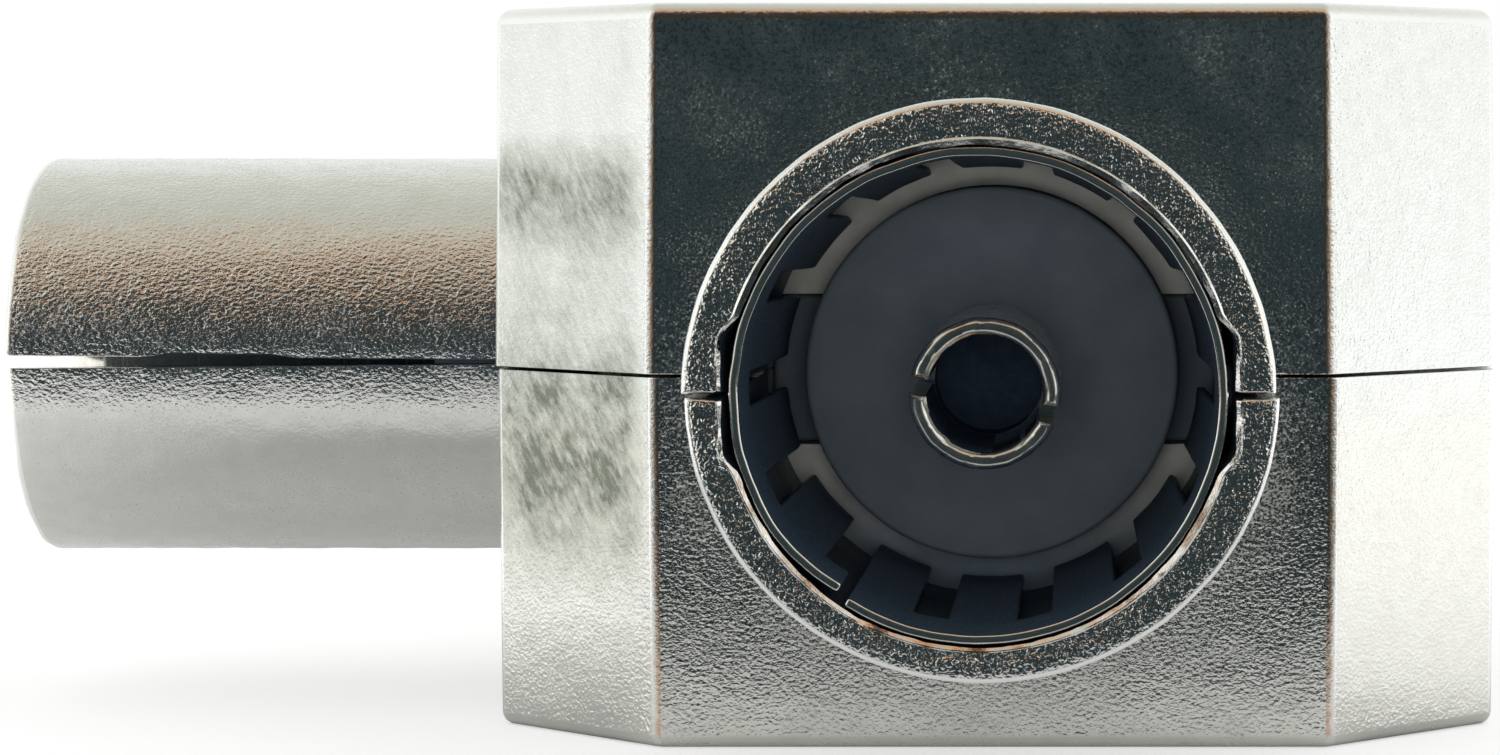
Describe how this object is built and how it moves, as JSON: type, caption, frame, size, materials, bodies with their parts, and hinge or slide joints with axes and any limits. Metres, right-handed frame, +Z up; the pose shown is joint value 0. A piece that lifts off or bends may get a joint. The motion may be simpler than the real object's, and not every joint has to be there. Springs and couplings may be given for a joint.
{
  "type": "rf splitter",
  "caption": "Die-cast coaxial T splitter: an octagonal metal block in halves, with an aerial plug on one side and spring-lined sockets front and rear, joined by a small transformer circuit",
  "frame": {"origin": "on the base, under the point where the axes of the plug and the two sockets cross", "axes": "+Z up out of the base; the plug points along -X; the sockets point along -Y (front) and +Y (rear)"},
  "size_m": [0.0343, 0.0384, 0.0161],
  "materials": {
    "casting": "nickel plated over a fine cast grain",
    "spring_strip": "bright nickel plated strip",
    "contact_metal": "bright nickel plated, turned",
    "insulating_plastic": "matte, moulded",
    "board_laminate": "satin solder resist",
    "ferrite": "matte, sintered",
    "enamelled_wire": "glossy enamelled copper",
    "chip_body": "matte",
    "resistor_body": "satin glaze"
  },
  "bodies": {
    "root": {"upper_housing": "casting", "lower_housing": "casting", "front_spring_sleeve": "spring_strip", "rear_spring_sleeve": "spring_strip", "front_contact": "contact_metal", "rear_contact": "contact_metal", "plug_pin": "contact_metal", "front_insulator": "insulating_plastic", "rear_insulator": "insulating_plastic", "plug_insulator": "insulating_plastic", "circuit_board": "board_laminate", "matching_core": "ferrite", "splitting_core": "ferrite", "matching_winding": "enamelled_wire", "splitting_winding_a": "enamelled_wire", "splitting_winding_b": "enamelled_wire", "balance_resistor": "resistor_body", "input_capacitor": "chip_body", "front_capacitor": "chip_body", "rear_capacitor": "chip_body"}
  },
  "joints": []
}
